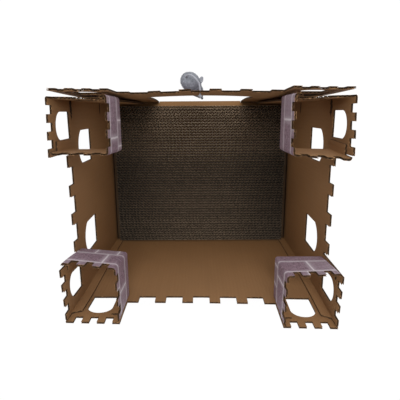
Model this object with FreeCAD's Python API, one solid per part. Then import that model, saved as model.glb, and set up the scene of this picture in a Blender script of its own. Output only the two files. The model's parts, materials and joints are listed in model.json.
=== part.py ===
import FreeCAD, Part
import math
import os

os.makedirs("parts", exist_ok=True)
vec = FreeCAD.Vector

# A cardboard castle for a cat: four battlemented walls, a tower at each corner, a
# corrugated scratching pad on the floor and a stuffed mouse hung by its tail over the door.
# Lengths are millimetres. X is the width, Y runs from the door to the back wall, Z is up.
# The origin is the middle of the underside.

# The box
inside_width = 410.0
inside_depth = 328.0
board = 3.0
rim_height = 312.0
fold_gap = 0.3
fold_radius = 2.4
overrun = 5.0

# The battlements
wall_merlon_width = 18.3
wall_merlon_height = 19.5
end_wall_merlon_count = 6
side_wall_merlon_count = 4

# The towers: the face is measured from a wall's inside to the printed side of the liner
tower_face = 80.0
tower_rise = 74.0
tower_merlon_height = 15.0
tower_merlon_count = 4
liner_fold_radius = 1.5
liner_tab_length = 14.0
liner_tab_drop = 6.0

# The openings in the walls: each arch's crown lies so far below the rim above it
door_width = 188.0
door_crown_drop = 52.0
door_rise = 38.0
window_width = 56.0
window_height = 78.0
window_crown_drop = 38.0
window_rise = 18.0
front_window_inset = 78.0
rear_window_inset = 89.0
tower_window_width = 40.0
tower_window_sill_gap = 1.0
tower_window_crown_drop = 12.0
tower_window_rise = 18.0

# The front wall leans out a little about the fold at its foot
front_lean_deg = 0.95

# The flaps
front_flap_end_gap = 4.0
front_flap_drop = 2.0
front_flap_corner = 8.0
front_flap_window_margin = 2.5
joint_flap_width = 15.0
joint_flap_drop = 6.0
joint_flap_slope = 9.0
flap_foot_gap = 0.5
bottom_flap_meeting_gap = 2.0
bottom_seam_offset = 15.0
floor_side_gap = 0.5
sill_side_gap = 1.5

# The scratching pad: strips of board on edge, glued side by side
pad_strip = 6.2
pad_side_gap = 9.0
pad_thickness = 25.0
pad_front_gap = 7.6
pad_back_gap = 4.0
pad_paper = 0.8
pad_cell_depth = 5.0

# The mouse: its rump hangs outside the front wall, and its snout reaches in through the door
mouse_radius = 15.0
mouse_wall_gap = 14.3
rump_side = 21.7
rump_drop = 30.8
snout_side = -4.6
snout_drop = 104.6
snout_inset = 0.8
mouse_sides = 32
body_station_shares = (0.0, 0.02, 0.05, 0.09, 0.15, 0.22, 0.3, 0.42, 0.54)
body_radius_shares = (0.24, 0.49, 0.7, 0.86, 0.97, 1.0, 0.98, 0.88, 0.74)
head_station_shares = (0.47, 0.52, 0.57, 0.62, 0.68, 0.78, 0.9, 0.98, 1.0)
head_radius_shares = (0.66, 0.73, 0.76, 0.74, 0.67, 0.5, 0.29, 0.18, 0.12)
belly_share = 0.9
ear_radius = 6.5
ear_thickness = 1.4
ear_station_share = 0.6
ear_side = 8.6
ear_height = 15.2
ear_turn_deg = 35.0
eye_radius = 1.3
eye_station_share = 0.8
eye_side_share = 0.8
eye_height_share = 0.6
nose_radius = 2.1
bead_station_shares = (-0.45, 0.0, 0.6, 0.95)
bead_radius_shares = (0.88, 1.0, 0.8, 0.34)

# The tail is the cord that the mouse hangs by: through a hole in the wall to a knot inside
tail_diameter = 2.5
tail_hole_diameter = 4.0
tail_hole_drop = 12.0
tail_gap = 0.3
tail_knot_radius = 3.4
tail_knot_station_shares = (0.0, 0.45, 1.1, 1.6)
tail_knot_radius_shares = (0.75, 1.0, 0.95, 0.45)
tail_points_from_hole = [
    vec(19.8, -27.4, -7.0),
    vec(12.4, -25.4, 1.6),
    vec(4.4, -18.6, 4.4),
]
tail_exit = 10.5
tail_arc_share = 0.45

# Places that follow from the sizes
half_width = inside_width / 2
half_depth = inside_depth / 2
outer_half_width = half_width + board
floor_top = 2 * board
inner_front = -half_depth + fold_gap
tower_rim_height = rim_height + tower_rise
tower_top = tower_rim_height + tower_merlon_height
wall_top = rim_height + wall_merlon_height
door_spring = rim_height - door_crown_drop - door_rise
window_spring = rim_height - window_crown_drop - window_rise
window_sill = rim_height - window_crown_drop - window_height
tower_window_sill = rim_height + tower_window_sill_gap
tower_window_spring = tower_rim_height - tower_window_crown_drop - tower_window_rise
front_flap_width = tower_face - front_flap_end_gap
pad_width = inside_width - 2 * pad_side_gap
pad_strip_count = int((inside_depth - pad_front_gap - pad_back_gap) / pad_strip)
liner_x = half_width - tower_face
liner_y = half_depth - tower_face
tail_radius = tail_diameter / 2
tail_height = rim_height - tail_hole_drop
outer_front = -half_depth - board
front_foot = vec(0, outer_front, 0)
mouse_rump = vec(rump_side, outer_front - mouse_radius - mouse_wall_gap, rim_height - rump_drop)
mouse_snout = vec(snout_side, outer_front + snout_inset, rim_height - snout_drop)
mouse_length = (mouse_snout - mouse_rump).Length
across = vec(1, 0, 0)
along = vec(0, 1, 0)
upward = vec(0, 0, 1)


def flat_face(places):
    """A flat face whose outline runs straight from place to place."""
    return Part.Face(Part.makePolygon(places + places[:1]))


def rectangle(left, right, low, high):
    """A rectangle in the XZ plane."""
    return flat_face([vec(left, 0, low), vec(right, 0, low), vec(right, 0, high), vec(left, 0, high)])


def arched(centre, width, sill, spring, rise):
    """A window or door in the XZ plane: upright sides under a low arch."""
    left = vec(centre - width / 2, 0, spring)
    right = vec(centre + width / 2, 0, spring)
    low_left = vec(left.x, 0, sill)
    low_right = vec(right.x, 0, sill)
    crown = vec(centre, 0, spring + rise)
    edges = [
        Part.LineSegment(low_left, low_right).toShape(),
        Part.LineSegment(low_right, right).toShape(),
        Part.Arc(right, crown, left).toShape(),
        Part.LineSegment(left, low_left).toShape(),
    ]
    return Part.Face(Part.Wire(edges))


def tower_notches(start, stop):
    """The gaps between a tower's merlons: merlons and gaps are equally wide."""
    division = (stop - start) / (2 * tower_merlon_count - 1)
    notches = []
    for index in range(tower_merlon_count - 1):
        left = start + division * (2 * index + 1)
        notches.append(rectangle(left, left + division, tower_rim_height, tower_top + overrun))
    return notches


def wall_notches(start, stop, merlons, pitch):
    """Takes the board down to the battlements between two towers."""
    first = (start + stop) / 2 - pitch * (merlons - 1) / 2 - wall_merlon_width / 2
    notches = [rectangle(start, stop, wall_top, tower_top + overrun)]
    left = start
    for index in range(merlons + 1):
        right = min(first + pitch * index, stop) if index < merlons else stop
        if right - left > fold_gap:
            notches.append(rectangle(left, right, rim_height, wall_top + overrun))
        left = first + pitch * index + wall_merlon_width
    return notches


def merlon_pitch():
    """The end walls' merlons fill the width between the towers, end to end."""
    return (2 * liner_x - wall_merlon_width) / (end_wall_merlon_count - 1)


def cut_board(start, stop, openings):
    """A flat board in the XZ plane, as thick as the board, with its openings cut out."""
    blank = rectangle(start, stop, 0, tower_top)
    return blank.cut(openings).Faces[0].extrude(along * board)


def end_wall(openings):
    """A wall across the width, with the outer faces of two towers at its ends."""
    notches = tower_notches(-outer_half_width, -liner_x)
    notches += tower_notches(liner_x, outer_half_width)
    notches += wall_notches(-liner_x, liner_x, end_wall_merlon_count, merlon_pitch())
    for side in (-1, 1):
        centre = side * (half_width - tower_face / 2)
        notches.append(
            arched(centre, tower_window_width, tower_window_sill, tower_window_spring, tower_window_rise)
        )
    return cut_board(-outer_half_width, outer_half_width, notches + openings)


def back_wall():
    wall = end_wall([])
    wall.translate(vec(0, half_depth, 0))
    return wall


def front_wall():
    door = arched(0, door_width, -overrun, door_spring, door_rise)
    wall = end_wall([door])
    hole = Part.makeCylinder(
        tail_hole_diameter / 2, board + 2 * overrun, vec(0, -overrun, tail_height), along
    )
    wall = wall.cut(hole)
    wall.translate(front_foot)
    wall.rotate(front_foot, across, front_lean_deg)
    return wall


def side_wall(side):
    """A wall along the depth: two low windows, two tower windows and a fold at each end."""
    notches = tower_notches(inner_front, -liner_y)
    notches += tower_notches(liner_y, half_depth)
    notches += wall_notches(-liner_y, liner_y, side_wall_merlon_count, merlon_pitch())
    for centre in (-half_depth + front_window_inset, half_depth - rear_window_inset):
        notches.append(arched(centre, window_width, window_sill, window_spring, window_rise))
    for centre in (-half_depth + tower_face / 2, half_depth - tower_face / 2):
        notches.append(
            arched(centre, tower_window_width, tower_window_sill, tower_window_spring, tower_window_rise)
        )
    wall = cut_board(inner_front, half_depth, notches)
    wall.rotate(vec(0, 0, 0), upward, 90)
    wall.translate(vec(half_width + board, 0, 0))
    folds = [edge for edge in wall.Edges if is_fold(edge)]
    wall = wall.makeFillet(fold_radius, folds)
    return wall if side > 0 else wall.mirror(vec(0, 0, 0), across)


def is_fold(edge):
    """The long upright outer edges of the right-hand wall, at its two ends."""
    box = edge.BoundBox
    upright = box.ZLength > rim_height
    outside = abs(box.XMin - outer_half_width) < fold_gap and box.XLength < fold_gap
    return upright and outside


def front_flap(side):
    """The side wall's flap, folded in behind the front wall's tower face."""
    low = floor_top + flap_foot_gap
    high = tower_rim_height - front_flap_drop
    root = half_width
    end = half_width - front_flap_width
    window = arched(
        half_width - tower_face / 2,
        tower_window_width + 2 * front_flap_window_margin,
        tower_window_sill - front_flap_window_margin,
        tower_window_spring,
        tower_window_rise + front_flap_window_margin,
    )
    flap = rectangle(end, root, low, high).cut(window).Faces[0].extrude(along * board)
    corners = [edge for edge in flap.Edges if is_flap_corner(edge, end, low, high)]
    flap = flap.makeFillet(front_flap_corner, corners)
    flap.translate(vec(0, inner_front, 0))
    return flap if side > 0 else flap.mirror(vec(0, 0, 0), across)


def is_flap_corner(edge, end, low, high):
    box = edge.BoundBox
    at_end = abs(box.XMin - end) < fold_gap and box.XLength < fold_gap
    at_corner = abs(box.ZMin - low) < fold_gap or abs(box.ZMin - high) < fold_gap
    return at_end and at_corner and box.ZLength < fold_gap


def joint_flap(side):
    """The side wall's narrow flap, glued to the inside of the back wall."""
    low = floor_top + flap_foot_gap
    high = tower_rim_height - joint_flap_drop
    root = half_width
    end = half_width - joint_flap_width
    corners = [
        vec(root, 0, low),
        vec(root, 0, high),
        vec(end, 0, high - joint_flap_slope),
        vec(end, 0, low + joint_flap_slope),
    ]
    flap = flat_face(corners).extrude(along * board)
    flap.translate(vec(0, half_depth - board, 0))
    return flap if side > 0 else flap.mirror(vec(0, 0, 0), across)


def rounded_face(corners, radii):
    """A flat face whose square corners are rounded, each with its own radius."""
    count = len(corners)
    starts = []
    ends = []
    arcs = {}
    for index, corner in enumerate(corners):
        back = (corners[index - 1] - corner).normalize()
        ahead = (corners[(index + 1) % count] - corner).normalize()
        radius = radii[index]
        starts.append(corner + back * radius)
        ends.append(corner + ahead * radius)
        if radius > 0:
            middle = corner + (back + ahead) * (radius * (1 - math.sqrt(0.5)))
            arcs[index] = Part.Arc(starts[-1], middle, ends[-1]).toShape()
    outline = []
    for index in range(count):
        if index in arcs:
            outline.append(arcs[index])
        outline.append(Part.LineSegment(ends[index], starts[(index + 1) % count]).toShape())
    return Part.Face(Part.Wire(outline))


def tower_liner(side, end):
    """One folded board closes a tower's two inner faces, with a glued tab at each wall."""
    wall_x = half_width
    wall_y = half_depth if end > 0 else -inner_front - board
    far = liner_fold_radius + board
    near = liner_fold_radius
    printed_x = liner_x
    printed_y = liner_y
    tab = liner_tab_length
    corners = [
        vec(wall_x, printed_y, 0),
        vec(wall_x, printed_y + board + tab, 0),
        vec(wall_x - board, printed_y + board + tab, 0),
        vec(wall_x - board, printed_y + board, 0),
        vec(printed_x + board, printed_y + board, 0),
        vec(printed_x + board, wall_y - board, 0),
        vec(printed_x + board + tab, wall_y - board, 0),
        vec(printed_x + board + tab, wall_y, 0),
        vec(printed_x, wall_y, 0),
        vec(printed_x, printed_y, 0),
    ]
    radii = [far, 0, 0, near, near, near, 0, 0, far, far]
    height = tower_top - rim_height
    liner = rounded_face(corners, radii).extrude(upward * height)
    liner.translate(upward * rim_height)
    for start, stop, turned in ((printed_x, wall_x, False), (printed_y, wall_y, True)):
        cutters = []
        for notch in tower_notches(start, stop):
            cutter = notch.extrude(along * (board + 2 * overrun))
            if turned:
                cutter.rotate(vec(0, 0, 0), upward, 90)
                cutter.translate(vec(printed_x + board + overrun, 0, 0))
            else:
                cutter.translate(vec(0, printed_y - overrun, 0))
            cutters.append(cutter)
        liner = liner.cut(cutters)
    tab_top = tower_rim_height - liner_tab_drop
    tab_room = Part.makeBox(
        wall_x - printed_x + overrun - far,
        wall_y - printed_y + overrun - far,
        tower_top,
        vec(printed_x + far, printed_y + far, tab_top),
    )
    liner = liner.cut(tab_room)
    if side < 0:
        liner = liner.mirror(vec(0, 0, 0), across)
    if end < 0:
        liner = liner.mirror(vec(0, 0, 0), along)
    return liner


def bottom_flap(side):
    """A side wall's bottom flap. The two meet to the left of the middle."""
    edge = bottom_flap_meeting_gap / 2 - side * bottom_seam_offset
    depth = half_depth - inner_front
    flap = Part.makeBox(half_width - edge, depth, board, vec(edge, inner_front, 0))
    return flap if side > 0 else flap.mirror(vec(0, 0, 0), across)


def floor_panel():
    """The floor, whose sill reaches out through the door to the front wall's face."""
    half_floor = half_width - floor_side_gap
    half_sill = door_width / 2 - sill_side_gap
    corners = [
        vec(-half_floor, half_depth, board),
        vec(-half_floor, inner_front, board),
        vec(-half_sill, inner_front, board),
        vec(-half_sill, outer_front, board),
        vec(half_sill, outer_front, board),
        vec(half_sill, inner_front, board),
        vec(half_floor, inner_front, board),
        vec(half_floor, half_depth, board),
    ]
    return flat_face(corners).extrude(upward * board)


def scratcher_pad():
    """Strips of board on edge, open between their papers where the flutes end."""
    start = -half_depth + pad_front_gap
    top = floor_top + pad_thickness
    cell_floor = top - pad_cell_depth
    half_paper = pad_paper / 2
    stop = start + pad_strip_count * pad_strip
    outline = [vec(0, stop, floor_top), vec(0, start, floor_top), vec(0, start, top)]
    for index in range(pad_strip_count):
        near = start + index * pad_strip + half_paper
        far = near + pad_strip - pad_paper
        outline.append(vec(0, near, top))
        outline.append(vec(0, near, cell_floor))
        outline.append(vec(0, far, cell_floor))
        outline.append(vec(0, far, top))
    outline.append(vec(0, stop, top))
    pad = flat_face(outline).extrude(across * pad_width)
    pad.translate(vec(-pad_width / 2, 0, 0))
    return pad


def mouse_directions():
    """The mouse's own directions: towards its snout, its back and its right side."""
    forward = mouse_snout - mouse_rump
    forward.normalize()
    back = -along - forward * (-along).dot(forward)
    back.normalize()
    return forward, back, forward.cross(back)


def mouse_point(station, height, side):
    """A point at a distance along the mouse's middle line, then towards its back and side."""
    forward, back, right = mouse_directions()
    return mouse_rump + forward * station + back * height + right * side


def turned(start, forward, outward, size, station_shares, radius_shares):
    """A solid of revolution whose outline runs through shares of a length and a radius."""
    length, radius = size
    outline = [start + forward * (station_shares[0] * length)]
    for station_share, radius_share in zip(station_shares, radius_shares):
        ring = start + forward * (station_share * length)
        outline.append(ring + outward * (radius_share * radius))
    outline.append(start + forward * (station_shares[-1] * length))
    return flat_face(outline).revolve(start, forward, 360)


def mouse_section(station, radius):
    """A round section, a little flatter at the belly."""
    places = []
    for step in range(mouse_sides):
        turn = 2 * math.pi * step / mouse_sides
        height = radius * math.cos(turn)
        if height < 0:
            height = height * belly_share
        places.append(mouse_point(station, height, radius * math.sin(turn)))
    return places


def mouse_form(station_shares, radius_shares):
    """A stuffed form that swells and tapers along the mouse's middle line."""
    sections = []
    for station, radius in zip(station_shares, radius_shares):
        sections.append(mouse_section(station * mouse_length, radius * mouse_radius))
    faces = [flat_face(sections[0]), flat_face(sections[-1])]
    for behind, ahead in zip(sections, sections[1:]):
        for index in range(mouse_sides):
            corners = [behind[index - 1], behind[index], ahead[index], ahead[index - 1]]
            faces.append(flat_face(corners))
    return Part.Solid(Part.Shell(faces))


def mouse_body():
    return mouse_form(body_station_shares, body_radius_shares)


def mouse_head():
    return mouse_form(head_station_shares, head_radius_shares).cut(mouse_body())


def head_radius(share):
    """The head's radius at a share of the mouse's length, between two sections."""
    stations = head_station_shares
    for index in range(len(stations) - 1):
        if stations[index] <= share <= stations[index + 1]:
            part = (share - stations[index]) / (stations[index + 1] - stations[index])
            step = head_radius_shares[index + 1] - head_radius_shares[index]
            return mouse_radius * (head_radius_shares[index] + step * part)
    return mouse_radius * head_radius_shares[-1]


def mouse_ear(side):
    """A felt disc that stands on the back of the head."""
    forward, _, right = mouse_directions()
    centre = mouse_point(mouse_length * ear_station_share, ear_height, side * ear_side)
    turn = math.radians(ear_turn_deg)
    facing = forward * math.cos(turn) + right * (side * math.sin(turn))
    start = centre - facing * (ear_thickness / 2)
    ear = Part.makeCylinder(ear_radius, ear_thickness, start, facing)
    return ear.cut([mouse_body(), mouse_head()])


def bead(centre, outward, radius):
    """A domed bead, flat at the back."""
    sideways = outward.cross(along).normalize()
    size = (radius, radius)
    return turned(centre, outward, sideways, size, bead_station_shares, bead_radius_shares)


def mouse_eye(side):
    station = mouse_length * eye_station_share
    radius = head_radius(eye_station_share)
    height = radius * eye_height_share
    centre = mouse_point(station, height, side * radius * eye_side_share)
    outward = centre - mouse_point(station, 0, 0)
    outward.normalize()
    return bead(centre, outward, eye_radius).cut(mouse_head())


def mouse_nose():
    forward = mouse_directions()[0]
    seat = -bead_station_shares[0] * nose_radius
    return bead(mouse_point(mouse_length + seat, 0, 0), forward, nose_radius)


def wall_point(height, depth):
    """A place on the leaning front wall, from its outer face inwards."""
    lean = math.radians(front_lean_deg)
    inward = vec(0, math.cos(lean), math.sin(lean))
    rise = vec(0, -math.sin(lean), math.cos(lean))
    return front_foot + rise * height + inward * depth


def tail_route():
    """From the mouse's rump, over and through the hole in the wall, up to the knot."""
    forward = mouse_directions()[0]
    pivot = mouse_rump - forward * (tail_radius + tail_gap)
    hole = wall_point(tail_height, 0)
    hanging = [hole + point for point in tail_points_from_hole]
    mouth = wall_point(tail_height, -tail_exit)
    end = wall_point(tail_height, board + tail_gap)
    return [pivot] + hanging + [mouth, end]


def rounded_path(points):
    """Straight runs joined by tangent arcs, each as large as its two runs allow."""
    edges = []
    start = points[0]
    for index in range(1, len(points) - 1):
        corner = points[index]
        back = points[index - 1] - corner
        ahead = points[index + 1] - corner
        shorter = min(back.Length, ahead.Length)
        reach = tail_arc_share * shorter
        back.normalize()
        ahead.normalize()
        turn = math.pi - back.getAngle(ahead)
        radius = reach / math.tan(turn / 2)
        print("tail turn %.0f deg, radius %.1f mm" % (math.degrees(turn), radius))
        first = corner + back * reach
        last = corner + ahead * reach
        bisector = back + ahead
        bisector.normalize()
        middle = corner + bisector * (radius / math.cos(turn / 2) - radius)
        edges.append(Part.LineSegment(start, first).toShape())
        edges.append(Part.Arc(first, middle, last).toShape())
        start = last
    edges.append(Part.LineSegment(start, points[-1]).toShape())
    return Part.Wire(edges)


def tail_cord():
    """The tail: a round cord with a ball end, on which the mouse turns."""
    route = tail_route()
    path = rounded_path(route)
    first = route[1] - route[0]
    section = Part.Face(Part.Wire(Part.makeCircle(tail_radius, route[0], first)))
    tube = path.makePipe(section)
    print("tail length %.1f mm, volume %.1f" % (path.Length, tube.Volume))
    print("section times length %.1f" % (math.pi * tail_radius**2 * path.Length))
    ball = Part.makeSphere(tail_radius, route[0])
    return tube.fuse(ball).removeSplitter()


def tail_knot():
    """The knot that stops the tail inside the front wall."""
    start = wall_point(tail_height, board + tail_gap)
    inward = wall_point(tail_height, board + overrun) - start
    inward.normalize()
    size = (tail_knot_radius, tail_knot_radius)
    return turned(start, inward, across, size, tail_knot_station_shares, tail_knot_radius_shares)


def build():
    nodes = {
        "front_wall": front_wall(),
        "back_wall": back_wall(),
        "floor_panel": floor_panel(),
        "scratcher_pad": scratcher_pad(),
        "mouse_body": mouse_body(),
        "mouse_head": mouse_head(),
        "mouse_nose": mouse_nose(),
        "tail_cord": tail_cord(),
        "tail_knot": tail_knot(),
    }
    for name, side in (("left", -1), ("right", 1)):
        nodes[name + "_wall"] = side_wall(side)
        nodes[name + "_front_flap"] = front_flap(side)
        nodes[name + "_joint_flap"] = joint_flap(side)
        nodes[name + "_bottom_flap"] = bottom_flap(side)
        nodes["front_" + name + "_tower_liner"] = tower_liner(side, -1)
        nodes["back_" + name + "_tower_liner"] = tower_liner(side, 1)
        nodes["mouse_" + name + "_ear"] = mouse_ear(side)
        nodes["mouse_" + name + "_eye"] = mouse_eye(side)
    return nodes


for node_name, node_shape in build().items():
    node_shape.exportStep("parts/" + node_name + ".step")
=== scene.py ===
import json
import math

import bmesh
import bpy
from mathutils import Matrix, Vector
from mathutils.bvhtree import BVHTree


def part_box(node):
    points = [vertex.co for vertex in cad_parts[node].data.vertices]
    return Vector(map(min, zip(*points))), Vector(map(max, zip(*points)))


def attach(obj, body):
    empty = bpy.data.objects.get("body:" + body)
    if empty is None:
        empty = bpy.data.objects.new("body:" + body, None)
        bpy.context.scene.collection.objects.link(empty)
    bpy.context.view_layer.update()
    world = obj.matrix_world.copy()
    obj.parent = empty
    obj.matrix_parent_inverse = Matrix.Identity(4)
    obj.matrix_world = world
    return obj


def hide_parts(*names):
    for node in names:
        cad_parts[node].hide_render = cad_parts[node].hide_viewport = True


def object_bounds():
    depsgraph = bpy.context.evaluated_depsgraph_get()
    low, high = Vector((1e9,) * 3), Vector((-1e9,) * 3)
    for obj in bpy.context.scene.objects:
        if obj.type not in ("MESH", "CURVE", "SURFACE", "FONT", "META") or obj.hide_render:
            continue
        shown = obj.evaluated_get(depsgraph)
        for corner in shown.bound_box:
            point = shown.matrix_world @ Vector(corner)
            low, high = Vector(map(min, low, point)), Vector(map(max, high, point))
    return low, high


bl_info = {
    "name": "Cardboard cat house",
    "version": (1, 0, 0),
    "blender": (4, 5, 0),
    "location": "View3D > Sidebar > Cat house",
    "description": "Builds a cardboard castle for a cat, with its scratching pad and hanging mouse",
    "category": "Object",
}

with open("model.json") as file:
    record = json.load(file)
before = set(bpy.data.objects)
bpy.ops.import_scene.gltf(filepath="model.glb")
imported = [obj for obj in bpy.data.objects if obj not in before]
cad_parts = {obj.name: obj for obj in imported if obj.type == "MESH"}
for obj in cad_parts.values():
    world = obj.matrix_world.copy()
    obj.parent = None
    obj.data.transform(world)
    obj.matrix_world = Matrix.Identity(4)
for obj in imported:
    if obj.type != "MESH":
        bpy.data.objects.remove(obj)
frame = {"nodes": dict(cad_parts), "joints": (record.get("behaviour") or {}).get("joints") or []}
CAD_BOUNDS = [list(corner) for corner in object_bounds()]

# Lengths are metres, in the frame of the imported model: X the width, -Y out of the door, Z up.
UP = Vector((0, 0, 1))
BOARD = 0.003
RIM = 0.312
HALF_WIDTH = CAD_BOUNDS[1][0]
TOWER_HEIGHT = CAD_BOUNDS[1][2] - RIM
JOINTS = {joint["name"]: joint for joint in frame["joints"]}
MOUSE_HOLE = Vector(JOINTS["mouse_swing"]["pos_m"])
FRONT_NORMAL = Vector(JOINTS["mouse_swing"]["axis"]).normalized()
FRONT_LEAN = math.atan2(FRONT_NORMAL.z, FRONT_NORMAL.y)
FRONT_FOOT = Vector(JOINTS["front_wall_fold"]["pos_m"])
HOLE_HEIGHT = 0.3

# Lengths that count as nothing: in sums, between two cuts, between two corners, past a ray's hit
TINY = 1e-6
CLOSE = 1e-4
GRID = 3e-5
HAIR = 1e-5

# How finely the boards are cut, so that they have places to bend
FLAT_STEP = 0.014
FLAT_ROW = 0.025
WAVY_ROW = 0.05
POINTS_PER_FLUTE = 7

# Roundness of the creases, and the width of the tower liners' tabs
WALL_FOLD = 0.0035
LINER_FOLD = 0.0045
TAB = 0.017

# Where the boards' warps start and stop
PINCH_FROM_MIDDLE = (0.07, 0.164)
TWIST_Y = (-0.05, 0.08)
TWIST_Z = (0.284, 0.384)
FLAP_Y = (-0.08, -0.16)
FLAP_X = (0.205, 0.125)
FRONT_HALF_WIDTH = 0.208
BELLY_TOP = 0.58
BOW_END = 1 / 1.9
UNEVEN_LEAN = 0.4

# The torn slots in the side walls below the front towers' windows, and the dark ends under them. The
# slots are not cut: both are painted shade, dark marks where the shade in them falls
SLOT_LEVEL = 0.301
SLOT_Y = (-0.147, -0.129)
SLOT_HALF_HEIGHT = 0.0052
SLOT_FRONT = -0.1635
TAB_LEVEL = 0.113
SIDE_WALL_X = 0.2

# The photograph's camera
CAMERA_PLACE = Vector((0.0012, -0.1423, 0.908))
CAMERA_TILT = 0.2271
CAMERA_ROLL = -0.0057
PHOTO_WIDTH_PX = 400
FOCAL_LENGTH_PX = 380


class BoardSettings(bpy.types.PropertyGroup):
    """Sizes and colours of the corrugated board."""

    paper: bpy.props.FloatProperty(
        name="Paper", description="Thickness of the board's papers",
        default=0.0003, unit="LENGTH",
    )
    flute_pitch: bpy.props.FloatProperty(
        name="Flute pitch", description="Distance between two flutes",
        default=0.0063, unit="LENGTH",
    )
    kraft: bpy.props.FloatVectorProperty(
        name="Kraft", description="Colour of the brown paper",
        default=(0.32, 0.172, 0.075), subtype="COLOR",
    )
    # Painted warm bounce light: the paper is drawn more orange towards the floor, as light bounced
    # between the brown walls warms it
    low_kraft: bpy.props.FloatVectorProperty(
        name="Low kraft", description="Colour of the brown paper near the floor",
        default=(0.32, 0.163, 0.062), subtype="COLOR",
    )
    # Painted shade: the wavy paper is drawn far darker than kraft, for the shade inside the flutes
    flute: bpy.props.FloatVectorProperty(
        name="Fluting", description="Colour of the wavy paper",
        default=(0.10, 0.056, 0.028), subtype="COLOR",
    )
    stone: bpy.props.FloatVectorProperty(
        name="Stone", description="Colour of the printed stone",
        default=(0.25, 0.165, 0.205), subtype="COLOR",
    )
    grey_stone: bpy.props.FloatVectorProperty(
        name="Grey stone", description="Colour that some printed stones turn towards",
        default=(0.30, 0.27, 0.29), subtype="COLOR",
    )
    light_stone: bpy.props.FloatVectorProperty(
        name="Light stone", description="Colour of the printed stones' light places",
        default=(0.58, 0.50, 0.55), subtype="COLOR",
    )
    mortar: bpy.props.FloatVectorProperty(
        name="Mortar", description="Colour of the printed joints",
        default=(0.74, 0.67, 0.71), subtype="COLOR",
    )
    course: bpy.props.FloatProperty(
        name="Course", description="Height of a printed course of stone",
        default=0.0465, unit="LENGTH",
    )
    stone_length: bpy.props.FloatProperty(
        name="Stone length", description="Length of a printed stone",
        default=0.068, unit="LENGTH",
    )
    bow: bpy.props.FloatProperty(
        name="Bow", description="How far the front wall's rim bows out",
        default=0.0022, unit="LENGTH",
    )
    belly: bpy.props.FloatProperty(
        name="Belly", description="How far the front wall bulges beside its door",
        default=0.002, unit="LENGTH",
    )
    flap_lean: bpy.props.FloatProperty(
        name="Flap lean", description="How far the front flaps' free ends stand back",
        default=0.002, unit="LENGTH",
    )
    side_lean: bpy.props.FloatProperty(
        name="Side lean", description="How far the side walls' rims lean inwards",
        default=0.003, unit="LENGTH",
    )
    twist: bpy.props.FloatProperty(
        name="Twist", description="How far the back rim is turned against the floor",
        default=0.005, unit="LENGTH",
    )
    pinch: bpy.props.FloatProperty(
        name="Pinch", description="How far the towers' tops lean in beyond the walls",
        default=0.003, unit="LENGTH",
    )


class PadSettings(bpy.types.PropertyGroup):
    """Sizes and colours of the scratching pad."""

    strips: bpy.props.IntProperty(
        name="Strips", description="Strips of board in the pad", default=51
    )
    wave_pitch: bpy.props.FloatProperty(
        name="Wave pitch", description="Distance between two flutes of a strip",
        default=0.0081, unit="LENGTH",
    )
    wave_points: bpy.props.IntProperty(
        name="Wave points", description="Points along one flute", default=7
    )
    paper: bpy.props.FloatProperty(
        name="Paper", description="Thickness of the strips' papers",
        default=0.00035, unit="LENGTH",
    )
    unevenness: bpy.props.FloatProperty(
        name="Unevenness", description="How far the strips' edges stand up or down",
        default=0.0005, unit="LENGTH",
    )
    # Painted shade and light: the strips' sides are drawn near black for the shade in the pad's cells,
    # and their upward cut edges paler for the light that falls on them
    paper_colour: bpy.props.FloatVectorProperty(
        name="Paper colour", description="Colour of the strips",
        default=(0.012, 0.008, 0.0055), subtype="COLOR",
    )
    edge_colour: bpy.props.FloatVectorProperty(
        name="Edge colour", description="Colour of the strips' cut edges",
        default=(0.153, 0.111, 0.074), subtype="COLOR",
    )


class MouseSettings(bpy.types.PropertyGroup):
    """Colours of the mouse."""

    plush: bpy.props.FloatVectorProperty(
        name="Plush", description="Colour of the pile",
        default=(0.27, 0.283, 0.315), subtype="COLOR",
    )
    felt: bpy.props.FloatVectorProperty(
        name="Felt", description="Colour of the ears and the tail",
        default=(0.36, 0.37, 0.41), subtype="COLOR",
    )
    bead: bpy.props.FloatVectorProperty(
        name="Bead", description="Colour of the eyes and the nose",
        default=(0.012, 0.012, 0.014), subtype="COLOR",
    )


class StageSettings(bpy.types.PropertyGroup):
    """Light and floor."""

    sky: bpy.props.FloatProperty(
        name="Sky", description="Strength of the light all round", default=0.62
    )
    lamp: bpy.props.FloatProperty(
        name="Lamp", description="Power of the lamp above", default=19.0, unit="POWER"
    )


class Wire:
    """A socket in a node tree. Python's operators on it add Math nodes."""

    def __init__(self, tree, socket):
        self.tree = tree
        self.socket = socket

    def math(self, operation, *values):
        return self.tree.add("ShaderNodeMath", {"operation": operation}, values)["Value"]

    def __add__(self, other):
        return self.math("ADD", self, other)

    __radd__ = __add__

    def __sub__(self, other):
        return self.math("SUBTRACT", self, other)

    def __rsub__(self, other):
        return self.math("SUBTRACT", other, self)

    def __mul__(self, other):
        return self.math("MULTIPLY", self, other)

    __rmul__ = __mul__

    def __truediv__(self, other):
        return self.math("DIVIDE", self, other)

    def __gt__(self, other):
        return self.math("GREATER_THAN", self, other)

    def __lt__(self, other):
        return self.math("LESS_THAN", self, other)

    def floor(self):
        return self.math("FLOOR", self)

    def fract(self):
        return self.math("FRACT", self)

    def sin(self):
        return self.math("SINE", self)

    def abs(self):
        return self.math("ABSOLUTE", self)

    def low(self, other):
        return self.math("MINIMUM", self, other)

    def high(self, other):
        return self.math("MAXIMUM", self, other)

    def ramp(self, start, stop, low=0.0, high=1.0):
        """Goes smoothly from low to high as the value goes from start to stop."""
        settings = {"interpolation_type": "SMOOTHSTEP"}
        values = {"Value": self, "From Min": start, "From Max": stop, "To Min": low, "To Max": high}
        return self.tree.add("ShaderNodeMapRange", settings, values)["Result"]


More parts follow.
